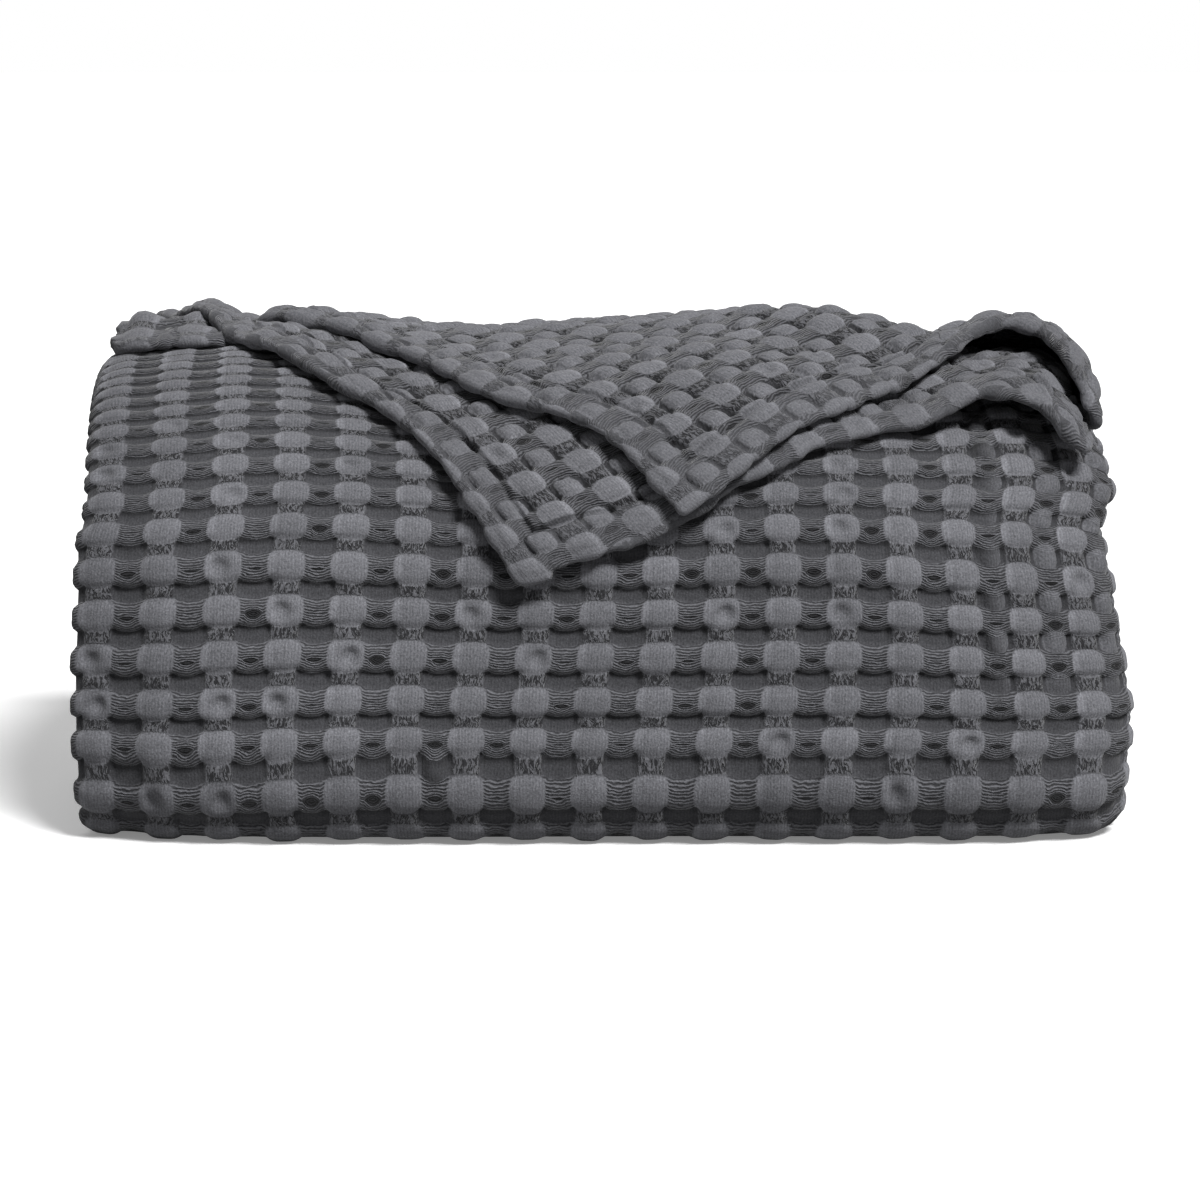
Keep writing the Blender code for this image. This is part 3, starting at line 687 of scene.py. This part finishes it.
def straight_uv(s, columns):
    """The weave's own coordinates on the closed strip, in cells."""
    c = np.concatenate([STARTS[part] + t * PARTS[part] for part, t in columns])
    a = c / CELL_ACROSS + PHASE_ACROSS
    left, right = (np.abs(c - STARTS[part] - PARTS[part] / 2)[None, :] for part in ("left", "outer"))
    s = s[:, None]
    hang = sum(size * smooth(s, *span) for size, span in LEFT_HANG)
    lift = sum(size * smooth(s, *span) for size, span in RIGHT_LIFT)
    lift = lift + RIGHT_SPREAD * np.maximum(0, s - SPREAD_START)
    s = s + hang * (1 - smooth(left, *LEFT_FADE)) - lift * (1 - smooth(right, *RIGHT_FADE))
    knots = np.array(ROWS)
    b = FIRST_ROW + np.interp(s, knots, np.arange(len(knots)))
    b += (np.minimum(s - knots[0], 0) + np.maximum(s - knots[-1], 0)) / CELL_ALONG
    return np.stack(np.broadcast_arrays(a[None, :], b), axis=-1)


# Stations of the round front
FRONT_FOOT = FOLD_SPANS[FRONT_FOLD][0] - 0.010
ROLL_START = FOLD_SPANS[FRONT_FOLD][0] - 0.070
ROLL_END = FOLD_SPANS[FRONT_FOLD][1] + 0.100
FRONT_POCKETS, POCKET_X, POCKET_Z = 0.60, (0.118, 0.150), (0.030, 0.070)  # recesses puff up at the right


def roll_front():
    """The outer ply round the front, with its side folds."""
    s = through(ROLL_START, (FRONT_FOOT, HIDDEN_STEP), (SHOULDER, FINE), (CREST, FINEST), (ROLL_END, MEDIUM))
    columns = [columns_of("upper", 1 - OVERLAP / FLAT, 1, FINE), columns_of("outer", 0, 1, FINE),
               columns_of("bottom", 0, 1, FINE), columns_of("left", 0, 1, FINE),
               columns_of("third", 0, OVERLAP / FLAT, FINE)]
    grid = strip_rows(s, columns)
    pockets = FRONT_POCKETS * smooth(grid[..., 0], *POCKET_X) * smooth(grid[..., 2], *POCKET_Z)
    uv = straight_uv(s, columns)
    depth = np.clip(1 / np.gradient(uv[..., 1], s, axis=0) / RIB_PITCH, RIB_DEPTH, 1.0)
    return cloth_piece("roll_front", raised(grid, uv, -1, pockets, sag=SAG, depth=depth))


def inner_layers():
    """The three inner plies behind and under the front, with the upper ply's hidden part."""
    blocks = []
    s = spaced(ROLL_START, ROLL_END, MEDIUM)
    part, t = hidden_columns("upper", MEDIUM)
    upper = [(part, t[t <= 1 - OVERLAP / FLAT])]
    blocks += raised(strip_rows(s, upper), straight_uv(s, upper), -1, hems=("first",), amount=HALF_PRESSED,
                     back=SHORT_BACK)
    lower = [("third", spaced(OVERLAP / FLAT, 1, COARSE / FLAT)), columns_of("inner", 0, 1, INNER_STEP),
             hidden_columns("lower", MEDIUM)]
    blocks += raised(strip_rows(s, lower), straight_uv(s, lower), -1, hems=("last",), amount=PRESSED,
                     back=SHORT_BACK)
    return cloth_piece("inner_layers", blocks)


def back_folds():
    """The strip from its hidden end to the front's foot, with its folds at the back."""
    blocks, spans = [], []
    at = 0.0
    for fold, visible in ((0, "bottom"), (2, "upper"), (4, "bottom")):
        start, end = FOLD_SPANS[fold][0] - FOLD_MARGIN, FOLD_SPANS[fold][1] + FOLD_MARGIN
        spans += [(at, start, ""), (start, end, visible)]
        at = end
    spans.append((at, ROLL_START, "bottom"))
    for start, end, visible in spans:
        s = spaced(start, end, BACK_STEP)
        columns = []
        for part in PARTS:
            if part in LOOPS:
                columns.append(columns_of(part, 0, 1, INNER_STEP if part == "inner" else BACK_STEP))
            elif part == visible:
                columns.append(columns_of(part, 0, 1, BACK_STEP))
            else:
                columns.append(hidden_columns(part, BACK_STEP))
        grid = strip_rows(s, columns)
        amount = [PRESSED if part in ("third", "inner", "lower") else BACK_RELIEF for part, t in columns]
        amount = np.repeat(amount, [len(t) for part, t in columns])
        blocks += raised(grid, straight_uv(s, columns), -1, hems=("first", "last"), amount=amount[None, :],
                         back=SHORT_BACK)
    return cloth_piece("back_folds", blocks)


def slanted_uv(x, reach, corner, side_way, end_way):
    """Weave coordinates that run along the two hems of a corner that is drawn askew."""
    side_way, end_way = (np.array(way) / math.hypot(*way) for way in (side_way, end_way))
    turn = np.linalg.inv(np.stack((end_way * CELL_ACROSS, side_way * CELL_ALONG), axis=1))
    from_corner = np.stack((x - corner[0], reach - corner[1]), axis=-1)
    return from_corner @ turn.T + np.array(FIRST_CELL)


def loop_share(columns, loop):
    """Share of the way into a side loop, for each column."""
    share = [(np.sin(math.pi * t) if part == loop else 0 * t) for part, t in columns]
    return smooth(np.concatenate(share), 0.0, 0.5)[None, :]


def loose_grid(v, s, columns, carrier):
    """The loose end with the stretch of closed strip behind it, and its unrolled x and reach."""
    closed = strip_rows(s, columns)
    open_end, x, reach = loose_rows(v, columns)
    strip_x = np.hstack([strip_place(part, t)[0] for part, t in columns])
    x = np.vstack((np.broadcast_to(strip_x, (len(s), len(strip_x))), x))
    reach = np.vstack((np.broadcast_to((BACK_REACH - (LAST - s))[:, None], (len(s), len(strip_x))), reach))
    grid = np.vstack((closed, open_end))
    names = np.concatenate([[part] * len(t) for part, t in columns])
    own = np.flatnonzero(names == carrier)
    length = distance_from(grid, 1, "first")
    x, reach = x.copy(), reach.copy()
    if own[-1] < len(names) - 1:
        x[:, own[-1]:] = x[:, [own[-1]]] + length[:, own[-1]:] - length[:, [own[-1]]]
        reach[:, own[-1]:] = reach[:, [own[-1]]]
    if own[0] > 0:
        x[:, :own[0]] = x[:, [own[0]]] + length[:, [own[0]]] - length[:, :own[0]]
        reach[:, :own[0]] = reach[:, [own[0]]]
    return grid, x, reach


TURN_START, TURN_LENGTH = 0.002, 0.020  # the weave turns askew between these, at the flap's hidden start
LOOSE_START = 0.012  # the loose end's first row, as a share of its length past the closed strip's last
LAST_ROWS = (1, 24)  # the fine rows of the end hem
FIRST_CELL = (-0.15, -0.15)  # the weave's place at a drawn corner


def top_flap():
    """The upper ply of the loose end, from under the last back fold to its hems, with the outer loop."""
    s = spaced(ROLL_END, LAST, MEDIUM)
    v = through(LOOSE_START, (0.40, 50), (0.93, 125), LAST_ROWS)
    flat = through(0, (0.05, 18), (1, 204))
    columns = [("upper", flat), ("outer", np.linspace(0, 1, 34)[1:-1]), ("bottom", np.linspace(0, 0.2, 16))]
    grid, x, reach = loose_grid(v, s, columns, "upper")
    uv = slanted_uv(x, reach, UPPER_END[0], *UPPER_WAYS)
    straight = np.concatenate((straight_uv(s, columns), uv[len(s):]))
    share = smooth(reach, reach[0, 0] + TURN_START, reach[0, 0] + TURN_LENGTH)
    fade = (weave(straight[..., 0], straight[..., 1], 0.0), share)
    blocks = raised(grid, uv, -1, TOP_POCKETS * share, ("first", "end"), fade=fade, amount=TOP_RELIEF,
                    calm=loop_share(columns, "outer"))
    blocks[0] = (blocks[0][0], np.where(share[..., None] > 0.5, uv, straight), *blocks[0][2:])
    return cloth_piece("top_flap", blocks)


def under_flap():
    """The lower ply of the loose end, with the inner loop."""
    s = spaced(ROLL_END, LAST, UNDER_STEP)
    v = through(LOOSE_START, (0.35, 30), (0.93, 130), LAST_ROWS)
    flat = through(0, (0.93, 190), (1, 28))
    columns = [("third", np.linspace(0.8, 1, 22)), ("inner", np.linspace(0, 1, 26)[1:-1]), ("lower", flat)]
    grid, x, reach = loose_grid(v, s, columns, "lower")
    uv = slanted_uv(x, reach, LOWER_END[0], *LOWER_WAYS)
    blocks = raised(grid, uv, 1, UNDER_POCKETS, ("last", "end"), amount=UNDER_RELIEF,
                    calm=loop_share(columns, "inner"))
    return cloth_piece("under_flap", blocks)


def tier():
    """The two set-back plies of the loose end, joined by their left fold."""
    s = spaced(ROLL_END, LAST, UNDER_STEP)
    v = np.linspace(LOOSE_START, 1, 110)
    flat = through(0, (0.28, 55), (0.8, 14))
    columns = [("bottom", 1 - flat[::-1]), ("left", np.linspace(0, 1, 9)[1:-1]), ("third", flat)]
    grid, x, reach = loose_grid(v, s, columns, "third")
    uv = np.stack((x / CELL_ACROSS, reach / CELL_ALONG), axis=-1)
    return cloth_piece("tier", raised(grid, uv, -1, TIER_POCKETS, ("end",)))


# Camera first, then the cloth

CAMERA_HEIGHT = 0.30
CAMERA_BACK = 1.5  # from the front
FOCAL_PIXELS, IMAGE_PIXELS = 4236, 1200
PITCH = math.radians(7.878)  # how far the camera looks down


def place_camera():
    data = bpy.data.cameras.new("camera")
    data.sensor_width = 36.0
    data.lens = data.sensor_width * FOCAL_PIXELS / IMAGE_PIXELS
    data.shift_x = -1 / IMAGE_PIXELS
    data.clip_start, data.clip_end = 0.05, 50.0
    camera = bpy.data.objects.new("camera", data)
    camera.location = (0.0, FRONT + FORWARD - CAMERA_BACK, CAMERA_HEIGHT)
    camera.rotation_euler = (math.pi / 2 - PITCH, 0.0, 0.0)
    bpy.context.collection.objects.link(camera)
    bpy.context.scene.camera = camera


# The finish


class Value:
    """A socket of a node tree that can be reckoned with."""

    def __init__(self, tree, socket):
        self.tree, self.socket = tree, socket

    def of(self, operation, *others, clamp=False):
        node = self.tree.nodes.new("ShaderNodeMath")
        node.operation, node.use_clamp = operation, clamp
        for socket, value in zip(node.inputs, (self, *others)):
            if isinstance(value, Value):
                self.tree.links.new(value.socket, socket)
            else:
                socket.default_value = value
        return Value(self.tree, node.outputs[0])

    def __add__(self, other):
        return self.of("ADD", other)

    def __sub__(self, other):
        return self.of("SUBTRACT", other)

    def __mul__(self, other):
        return self.of("MULTIPLY", other)

    def __truediv__(self, other):
        return self.of("DIVIDE", other)

    def __pow__(self, other):
        return self.of("POWER", other)

    def size(self):
        return self.of("ABSOLUTE")

    def wave(self, cycles, shift=0.0):
        """From 0 to 1 and back, cycles times for each unit."""
        return ((self * (2 * math.pi * cycles) + shift).of("SINE") * 0.5) + 0.5

    def ramp(self, start, end, low=0.0, high=1.0):
        """Low before start, high after end, smooth between."""
        node = self.tree.nodes.new("ShaderNodeMapRange")
        node.interpolation_type = "SMOOTHSTEP"
        self.tree.links.new(self.socket, node.inputs["Value"])
        for name, value in (("From Min", start), ("From Max", end), ("To Min", low), ("To Max", high)):
            node.inputs[name].default_value = value
        return Value(self.tree, node.outputs["Result"])


def invert(value):
    return value * -1.0 + 1.0


def vector(tree, x, y):
    node = tree.nodes.new("ShaderNodeCombineXYZ")
    tree.links.new(x.socket, node.inputs["X"])
    tree.links.new(y.socket, node.inputs["Y"])
    return node.outputs["Vector"]


def parts_of(tree, socket):
    node = tree.nodes.new("ShaderNodeSeparateXYZ")
    tree.links.new(socket, node.inputs[0])
    return [Value(tree, output) for output in node.outputs]


def noise(tree, where, scale, detail=2.0, distortion=0.0):
    node = tree.nodes.new("ShaderNodeTexNoise")
    node.inputs["Scale"].default_value = scale
    node.inputs["Detail"].default_value = detail
    node.inputs["Distortion"].default_value = distortion
    tree.links.new(where, node.inputs["Vector"])
    return Value(tree, node.outputs["Fac"])


def dice(tree, x, y):
    """A chance value from 0 to 1 for each cell."""
    node = tree.nodes.new("ShaderNodeTexWhiteNoise")
    node.noise_dimensions = "2D"
    tree.links.new(vector(tree, x, y), node.inputs["Vector"])
    return Value(tree, node.outputs["Value"])


def yarn_group():
    """The yarns of the weave: tone, with painted highlights and painted shade, and height from the weave's
    coordinates.
    """
    tree = bpy.data.node_groups.new("waffle_yarns", "ShaderNodeTree")
    tree.interface.new_socket("Weave", in_out="INPUT", socket_type="NodeSocketVector")
    for name in ("Pockets", "Hem", "From hem"):
        tree.interface.new_socket(name, in_out="INPUT", socket_type="NodeSocketFloat")
    for name in ("Tone", "Height"):
        tree.interface.new_socket(name, in_out="OUTPUT", socket_type="NodeSocketFloat")
    entry, out = tree.nodes.new("NodeGroupInput"), tree.nodes.new("NodeGroupOutput")
    weave_place = entry.outputs["Weave"]
    pockets, hem, from_hem = (Value(tree, entry.outputs[name]) for name in ("Pockets", "Hem", "From hem"))
    a, b, _ = parts_of(tree, weave_place)
    i, j = a.of("ROUND"), b.of("ROUND")
    u, v = a - i, b - j
    beside, above = a.of("FRACT") - 0.5, b.of("FRACT") - 0.5
    own = dice(tree, i, j)
    between = dice(tree, a.of("FLOOR") + 0.37, j)
    drift = noise(tree, weave_place, 3.1)

    # Where the parts of a cell lie, as masks: puff, crepe, thread bundle, and the rest
    width = pockets * -0.045 + 0.30
    puff = ((u.size() / width) ** 3.0 + (v.size() / (width + 0.075)) ** 3.0).ramp(0.80, 1.20, 1.0, 0.0)
    pocket = ((beside.size() / 0.21) ** 3.0 + (above.size() / 0.275) ** 3.0).ramp(0.75, 1.15, 1.0, 0.0)
    pocket = pocket * pockets.ramp(0.35, 0.75)
    puff = puff.of("MAXIMUM", pocket)
    open_ = invert(puff)
    crepe = u.size().ramp(0.19, 0.24, 1.0, 0.0) * open_
    sag = ((beside * 4.0) ** 2.0) * -0.09 + 0.09
    level = v + sag
    bundle = level.size().ramp(0.29, 0.33, 1.0, 0.0) * open_ * u.size().ramp(0.20, 0.25)
    rest = (open_ - crepe - bundle).of("MAXIMUM", 0.0)

    # Plain yarns, the crepe's crimped ones, and the bundle's loose threads that part round an eye
    streak = noise(tree, vector(tree, a * 64.0, b * 16.0), 1.0, 1.0)
    cross = noise(tree, vector(tree, a * 22.0, b * 60.0), 1.0, 1.0)
    ribs = a.wave(19.0, drift * 5.0)
    plain = streak * 0.52 + cross * 0.37 + ribs * 0.11
    squiggle_place = vector(tree, a * 30.0 + (drift * 5.0), b * 6.5)
    squiggle = noise(tree, squiggle_place, 1.0, 1.0, 1.2).ramp(0.42, 0.58)
    eye = ((beside / 0.14) ** 2.0) * -1.0 + 1.0
    eye = (eye * (between * 0.115 - 0.004)).of("MAXIMUM", 0.0)
    spread = (level.size() - eye) / (eye * -1.0 + 0.32)
    loose = noise(tree, vector(tree, a * 7.0, b * 9.0 + (between * 40.0)), 1.0, 2.0)
    threads = spread.wave(5.2, loose * 9.0 + between * 6.0)
    # painted shade in the eye, where a bundle's threads part
    painted_eye_shade = ((level.size() - eye).ramp(-0.012, 0.008, 1.0, 0.0)) * eye.ramp(0.002, 0.02)
    # painted shadow: the upper part of each recess darker, under the bundle above it
    under = above.ramp(-0.06, 0.13)

    # Tones, with painted light and shade: a pale painted highlight on each puff's right, where the key light
    # falls from the right, and painted shade in the recesses, under the bundles and in their eyes
    # painted highlight: a pale lip on the right edge of each puff and crepe strip, as lit from the right
    painted_highlight = u.ramp(0.13, 0.20) * u.ramp(0.27, 0.33, 1.0, 0.0)
    puff_tone = (plain - 0.5) * 2.0 + (own * 0.20 + 1.00) + painted_highlight * 0.36
    # painted shade: crepe, bundles and recesses darker where the recesses round them puff up, in the narrow
    # gaps between crowded puffs
    crepe_tone = (squiggle * 0.80 + 0.20 + painted_highlight * 0.28) * (pockets * -0.18 + 1.0)
    bundle_tone = (threads * 0.84 + 0.27) * (painted_eye_shade * -0.80 + 1.0) * (pockets * -0.15 + 1.0)
    # painted shade: the recesses far darker than the puffs, and darker still at their top, under the bundle
    # above
    painted_recess_shade_tone = ((plain - 0.5) * 0.7 + 0.46) * (under * -0.50 + 1.0) * (pockets * -0.40 + 1.0)
    tone = puff_tone * puff + crepe_tone * crepe + bundle_tone * bundle + painted_recess_shade_tone * rest
    plain_tone = plain * 0.22 + 0.84
    tone = tone + (plain_tone - tone) * (hem * 0.40)
    stitches = from_hem.ramp(0.240, 0.255) * from_hem.ramp(0.285, 0.300, 1.0, 0.0)
    tone = tone * (stitches * -0.22 + 1.0)
    height = puff * plain * 0.45 + crepe * squiggle * 1.1 + bundle * threads * 0.9 + rest * plain * 0.35
    tree.links.new(tone.socket, out.inputs["Tone"])
    tree.links.new(height.socket, out.inputs["Height"])
    return tree


COTTON_COLOUR = (0.127, 0.128, 0.1395)


def washed_cotton(yarns):
    """Dark grey washed cotton: yarns with painted highlights and painted shade, washed-out patches, lint and
    a soft nap.
    """
    material = bpy.data.materials.new("washed_grey_cotton")
    material.use_nodes = True
    tree = material.node_tree
    shader = tree.nodes["Principled BSDF"]
    uv = tree.nodes.new("ShaderNodeUVMap")
    uv.uv_map = "weave"
    trim = tree.nodes.new("ShaderNodeAttribute")
    trim.attribute_name = "trim"
    pockets, hem, from_hem = parts_of(tree, trim.outputs["Color"])
    group = tree.nodes.new("ShaderNodeGroup")
    group.node_tree = yarns
    tree.links.new(uv.outputs["UV"], group.inputs["Weave"])
    for value, name in ((pockets, "Pockets"), (hem, "Hem"), (from_hem, "From hem")):
        tree.links.new(value.socket, group.inputs[name])
    place = tree.nodes.new("ShaderNodeTexCoord").outputs["Object"]
    washed = noise(tree, place, 14.0, 3.0).ramp(0.25, 0.75, 0.93, 1.07)
    lint = noise(tree, place, 1300.0, 3.0)
    tone = Value(tree, group.outputs["Tone"]) * washed * (lint * 1.20 + 0.40)
    scale = tree.nodes.new("ShaderNodeVectorMath")
    scale.operation = "SCALE"
    scale.inputs[0].default_value = COTTON_COLOUR
    tree.links.new(tone.socket, scale.inputs["Scale"])
    tree.links.new(scale.outputs["Vector"], shader.inputs["Base Color"])
    bump = tree.nodes.new("ShaderNodeBump")
    bump.inputs["Strength"].default_value = 0.8
    bump.inputs["Distance"].default_value = 0.0006
    height = Value(tree, group.outputs["Height"]) + lint * 0.35
    tree.links.new(height.socket, bump.inputs["Height"])
    tree.links.new(bump.outputs["Normal"], shader.inputs["Normal"])
    shader.inputs["Roughness"].default_value = 0.95
    shader.inputs["Specular IOR Level"].default_value = 0.18
    shader.inputs["Sheen Weight"].default_value = 0.18
    shader.inputs["Sheen Roughness"].default_value = 0.45
    return material


# The setting


AMBIENT = 0.15  # light from all round
FLOOR_GLOW = 0.21  # what lightens its shadows, as white card would
FLOOR_SEEN, FLOOR_GIVEN = 0.96, 0.30  # the floor's paleness to the eye, and in the light that it gives back


def floor_material():
    material = bpy.data.materials.new("pale_floor")
    material.use_nodes = True
    tree = material.node_tree
    shader = tree.nodes["Principled BSDF"]
    seen = Value(tree, tree.nodes.new("ShaderNodeLightPath").outputs["Is Camera Ray"])
    paleness = tree.nodes.new("ShaderNodeCombineColor")
    for channel in ("Red", "Green", "Blue"):
        tree.links.new((seen * (FLOOR_SEEN - FLOOR_GIVEN) + FLOOR_GIVEN).socket, paleness.inputs[channel])
    tree.links.new(paleness.outputs["Color"], shader.inputs["Base Color"])
    glow = tree.nodes.new("ShaderNodeCombineColor")
    for channel in ("Red", "Green", "Blue"):
        tree.links.new((seen * FLOOR_GLOW).socket, glow.inputs[channel])
    tree.links.new(glow.outputs["Color"], shader.inputs["Emission Color"])
    shader.inputs["Emission Strength"].default_value = 1.0
    shader.inputs["Roughness"].default_value = 0.9
    return material


def pale_floor():
    bpy.ops.object.select_all(action="DESELECT")
    bpy.ops.mesh.primitive_plane_add(size=40.0, location=(0.0, 0.0, 0.0))
    floor = bpy.context.object
    floor.name = "floor"
    floor.data.materials.append(floor_material())


def soft_sun(name, towards, spread, strength):
    data = bpy.data.lights.new(name, "SUN")
    data.angle = math.radians(spread)
    data.energy = strength
    lamp = bpy.data.objects.new(name, data)
    x, y, z = towards
    lamp.rotation_euler = (math.atan2(math.hypot(x, y), z), 0.0, math.atan2(y, x) + math.pi / 2)
    lamp.location = (x, y, z)
    bpy.context.collection.objects.link(lamp)


def studio():
    world = bpy.data.worlds.new("studio")
    world.use_nodes = True
    tree = world.node_tree
    background = tree.nodes["Background"]
    background.inputs["Color"].default_value = (1.0, 1.0, 1.0, 1.0)
    seen = Value(tree, tree.nodes.new("ShaderNodeLightPath").outputs["Is Camera Ray"])
    tree.links.new((seen * (1.0 - AMBIENT) + AMBIENT).socket, background.inputs["Strength"])
    bpy.context.scene.world = world
    soft_sun("key", (0.46, -0.80, 1.00), 16.0, 4.1)
    soft_sun("fill", (-0.20, 1.00, 0.70), 40.0, 0.9)
    bpy.context.scene.view_settings.view_transform = "Standard"


def main():
    place_camera()
    pale_floor()
    studio()
    cotton = washed_cotton(yarn_group())
    pieces = {
        # piece: flat size before folding
        roll_front(): (0.424, 0.371),
        inner_layers(): (1.11, 0.371),
        back_folds(): (1.53, 1.17),
        top_flap(): (0.424, 0.34),
        under_flap(): (0.41, 0.34),
        tier(): (0.40, 0.242),
    }
    for piece, flat in pieces.items():
        piece.data.materials.append(cotton)
        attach(piece, "root")
        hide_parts("blanket")


main()
